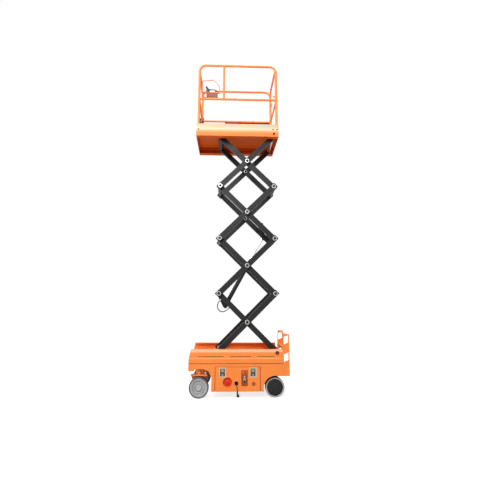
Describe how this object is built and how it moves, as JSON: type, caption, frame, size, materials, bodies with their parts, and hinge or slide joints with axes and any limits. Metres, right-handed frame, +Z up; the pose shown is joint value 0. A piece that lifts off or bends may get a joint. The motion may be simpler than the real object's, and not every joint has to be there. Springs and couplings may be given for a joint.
{
  "type": "scissor lift",
  "caption": "Small self-propelled scissor lift: orange chassis on grey wheels, black scissor stack raised by a cylinder, and a platform with guard rails and a gate.",
  "frame": {"origin": "on the ground, under the middle of the machine's length and width", "axes": "+X from the steered end to the ladder, +Y to the side away from the ground controls, +Z up"},
  "size_m": [1.252, 0.806, 4.5048],
  "materials": {
    "orange_paint": "gloss",
    "black_paint": "satin",
    "bright_steel": "machined",
    "chrome_rod": "polished",
    "grey_tyre": "matt",
    "grey_wheel": "satin",
    "black_wheel": "satin",
    "stainless": "brushed",
    "battery_case": "matt",
    "red_plastic": "gloss",
    "black_plastic": "matt",
    "black_rubber": "matt",
    "grey_plastic": "satin"
  },
  "bodies": {
    "chassis": {"chassis_side_left": "orange_paint", "chassis_side_right": "orange_paint", "chassis_deck": "orange_paint", "bay_frame": "orange_paint", "rear_panel": "orange_paint", "front_axle": "orange_paint", "rear_axle": "orange_paint", "ladder": "orange_paint", "batteries": "battery_case", "pump_and_tank": "black_paint"},
    "door_left": {"door_left": "orange_paint", "latches_left": "stainless", "ground_controls": "red_plastic", "cable_gland": "black_plastic", "charging_lead": "black_rubber", "lead_plug": "black_rubber"},
    "door_right": {"door_right": "orange_paint", "latches_right": "stainless"},
    "knuckle_left": {"knuckle_left": "orange_paint"},
    "knuckle_right": {"knuckle_right": "orange_paint"},
    "tie_rod": {"tie_rod": "bright_steel"},
    "arms_1_inner": {"arms_1_inner": "black_paint", "hose_loop": "black_rubber"},
    "arms_1_outer": {"arms_1_outer": "black_paint", "pins_1": "bright_steel", "rollers_lower": "bright_steel"},
    "arms_2_outer": {"arms_2_outer": "black_paint", "pins_2": "bright_steel"},
    "arms_2_inner": {"arms_2_inner": "black_paint"},
    "arms_3_inner": {"arms_3_inner": "black_paint"},
    "arms_3_outer": {"arms_3_outer": "black_paint", "pins_3": "bright_steel"},
    "arms_4_outer": {"arms_4_outer": "black_paint", "pins_4": "bright_steel"},
    "arms_4_inner": {"arms_4_inner": "black_paint", "rollers_upper": "bright_steel"},
    "cylinder_barrel": {"cylinder_barrel": "black_paint"},
    "cylinder_rod": {"cylinder_rod": "chrome_rod"},
    "platform": {"platform_deck": "orange_paint", "guardrail_left": "orange_paint", "guardrail_right": "orange_paint", "guardrail_front": "orange_paint", "gate_hinges": "orange_paint", "control_bracket": "orange_paint", "control_box": "grey_plastic", "joystick": "black_plastic"},
    "gate": {"gate": "orange_paint"},
    "wheel_front_left": {"tyre_front_left": "grey_tyre", "hub_front_left": "grey_wheel"},
    "wheel_front_right": {"tyre_front_right": "grey_tyre", "hub_front_right": "grey_wheel"},
    "wheel_rear_left": {"tyre_rear_left": "grey_tyre", "hub_rear_left": "black_wheel"},
    "wheel_rear_right": {"tyre_rear_right": "grey_tyre", "hub_rear_right": "black_wheel"}
  },
  "joints": [
    {"name": "scissor_raise", "type": "hinge", "parent": "chassis", "child": "arms_1_inner", "pos_m": [0.475, 0, 0.524], "axis": [0, 1, 0], "range_deg": [-40, 8]},
    {"name": "stage_1_cross", "type": "hinge", "parent": "arms_1_inner", "child": "arms_1_outer", "pos_m": [0.10411, 0, 0.88847], "axis": [0, 1, 0], "range_deg": [-16, 80]},
    {"name": "stage_2_foot", "type": "hinge", "parent": "arms_1_inner", "child": "arms_2_outer", "pos_m": [-0.26678, 0, 1.25295], "axis": [0, 1, 0], "range_deg": [-16, 80]},
    {"name": "stage_2_cross", "type": "hinge", "parent": "arms_2_outer", "child": "arms_2_inner", "pos_m": [0.10411, 0, 1.61742], "axis": [0, 1, 0], "range_deg": [-80, 16]},
    {"name": "stage_3_foot", "type": "hinge", "parent": "arms_2_outer", "child": "arms_3_inner", "pos_m": [0.475, 0, 1.98189], "axis": [0, 1, 0], "range_deg": [-80, 16]},
    {"name": "stage_3_cross", "type": "hinge", "parent": "arms_3_inner", "child": "arms_3_outer", "pos_m": [0.10411, 0, 2.34636], "axis": [0, 1, 0], "range_deg": [-16, 80]},
    {"name": "stage_4_foot", "type": "hinge", "parent": "arms_3_inner", "child": "arms_4_outer", "pos_m": [-0.26678, 0, 2.71084], "axis": [0, 1, 0], "range_deg": [-16, 80]},
    {"name": "stage_4_cross", "type": "hinge", "parent": "arms_4_outer", "child": "arms_4_inner", "pos_m": [0.10411, 0, 3.07531], "axis": [0, 1, 0], "range_deg": [-80, 16]},
    {"name": "platform_pivot", "type": "hinge", "parent": "arms_4_outer", "child": "platform", "pos_m": [0.475, 0, 3.43978], "axis": [0, 1, 0], "range_deg": [-40, 8]},
    {"name": "cylinder_foot", "type": "hinge", "parent": "arms_1_inner", "child": "cylinder_barrel", "pos_m": [-0.18049, 0, 1.08823], "axis": [0, 1, 0], "range_deg": [-17.76, 88.8]},
    {"name": "cylinder_stroke", "type": "slide", "parent": "cylinder_barrel", "child": "cylinder_rod", "axis": [0.4821, 0, 0.8761], "range_m": [-0.37011, 0.0741]},
    {"name": "steer", "type": "hinge", "parent": "chassis", "child": "knuckle_left", "pos_m": [-0.494, -0.312, 0.3], "axis": [0, 0, 1], "range_deg": [-50, 50]},
    {"name": "steer_right", "type": "hinge", "parent": "chassis", "child": "knuckle_right", "pos_m": [-0.494, 0.312, 0.3], "axis": [0, 0, 1], "range_deg": [-50, 50]},
    {"name": "tie_rod_pivot", "type": "hinge", "parent": "knuckle_left", "child": "tie_rod", "pos_m": [-0.414, -0.312, 0.28], "axis": [0, 0, 1], "range_deg": [-50, 50]},
    {"name": "wheel_front_left_spin", "type": "hinge", "parent": "knuckle_left", "child": "wheel_front_left", "pos_m": [-0.494, -0.339, 0.121], "axis": [0, 1, 0], "continuous": true},
    {"name": "wheel_rear_left_spin", "type": "hinge", "parent": "chassis", "child": "wheel_rear_left", "pos_m": [0.443, -0.306, 0.118], "axis": [0, 1, 0], "continuous": true},
    {"name": "wheel_front_right_spin", "type": "hinge", "parent": "knuckle_right", "child": "wheel_front_right", "pos_m": [-0.494, 0.339, 0.121], "axis": [0, 1, 0], "continuous": true},
    {"name": "wheel_rear_right_spin", "type": "hinge", "parent": "chassis", "child": "wheel_rear_right", "pos_m": [0.443, 0.306, 0.118], "axis": [0, 1, 0], "continuous": true},
    {"name": "door_left_fold", "type": "hinge", "parent": "chassis", "child": "door_left", "pos_m": [-0.0185, -0.376, 0.084], "axis": [1, 0, 0], "range_deg": [0, 90]},
    {"name": "door_right_fold", "type": "hinge", "parent": "chassis", "child": "door_right", "pos_m": [-0.0185, 0.376, 0.084], "axis": [-1, 0, 0], "range_deg": [0, 90]},
    {"name": "gate_swing", "type": "hinge", "parent": "platform", "child": "gate", "pos_m": [0.515, 0.3135, 3.96278], "axis": [0, 0, 1], "range_deg": [-90, 0]}
  ],
  "couplings": [
    {"joint": "stage_1_cross", "follows": "scissor_raise", "ratio": -2},
    {"joint": "stage_2_foot", "follows": "scissor_raise", "ratio": -2},
    {"joint": "stage_2_cross", "follows": "scissor_raise", "ratio": 2},
    {"joint": "stage_3_foot", "follows": "scissor_raise", "ratio": 2},
    {"joint": "stage_3_cross", "follows": "scissor_raise", "ratio": -2},
    {"joint": "stage_4_foot", "follows": "scissor_raise", "ratio": -2},
    {"joint": "stage_4_cross", "follows": "scissor_raise", "ratio": 2},
    {"joint": "platform_pivot", "follows": "scissor_raise", "ratio": 1},
    {"joint": "cylinder_foot", "follows": "scissor_raise", "ratio": -2.22},
    {"joint": "cylinder_stroke", "follows": "scissor_raise", "m_per_rad": 0.53},
    {"joint": "steer_right", "follows": "steer", "ratio": 1},
    {"joint": "tie_rod_pivot", "follows": "steer", "ratio": -1}
  ]
}
